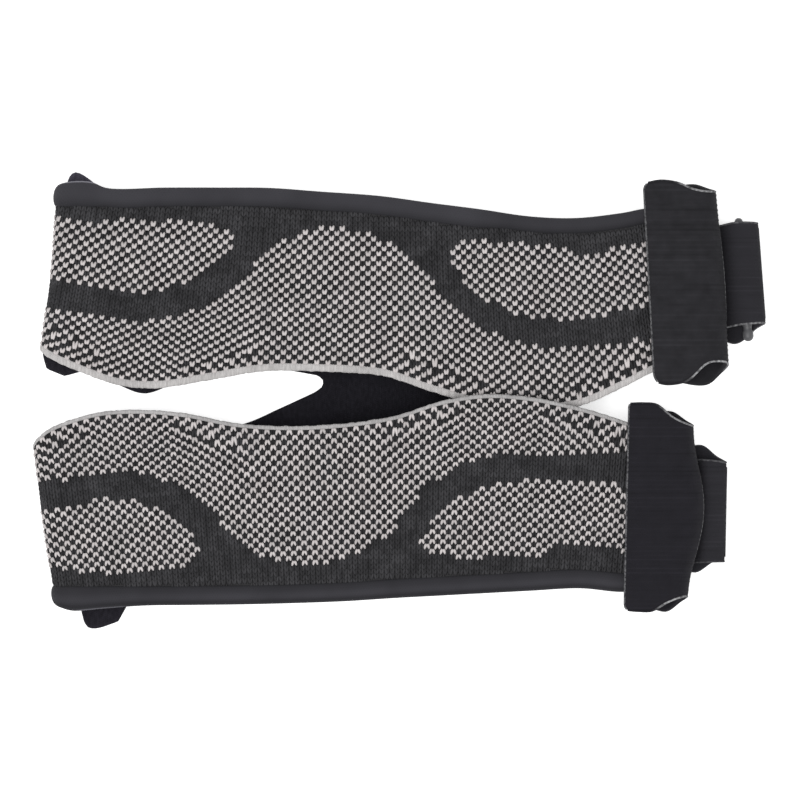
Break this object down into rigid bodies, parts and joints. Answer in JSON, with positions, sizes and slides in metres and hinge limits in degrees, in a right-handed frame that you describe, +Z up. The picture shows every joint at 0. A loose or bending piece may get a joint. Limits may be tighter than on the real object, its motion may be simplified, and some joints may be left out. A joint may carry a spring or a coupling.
{
  "type": "knitted knee support",
  "caption": "Soft knee support with an upper and a lower knitted band joined behind the knee by black cloth, lying flat, each closed by a folded elastic strap with a webbing loop.",
  "frame": {"origin": "on the surface that it lies on, under the middle of the whole support", "axes": "+X across the leg towards the straps, +Y along the leg towards the thigh, +Z up out of the knitted front"},
  "size_m": [0.1832, 0.1146, 0.0144],
  "materials": {
    "knit": "dark grey jacquard knit with light grey stitches",
    "hem": "smooth dark grey knitted hem",
    "welt": "light grey knitted edge",
    "back_cloth": "black stretch cloth",
    "elastic": "black ribbed elastic",
    "webbing": "black woven webbing",
    "bar": "satin grey plastic"
  },
  "bodies": {
    "root": {"upper_knit_panel": "knit", "upper_outer_hem": "hem", "upper_inner_welt": "welt", "lower_knit_panel": "knit", "lower_outer_hem": "hem", "lower_inner_welt": "welt", "back_panel": "back_cloth", "upper_wide_strap": "elastic", "upper_narrow_strap": "webbing", "upper_strap_bar": "bar", "lower_wide_strap": "elastic", "lower_narrow_strap": "webbing", "lower_strap_bar": "bar"}
  },
  "joints": []
}
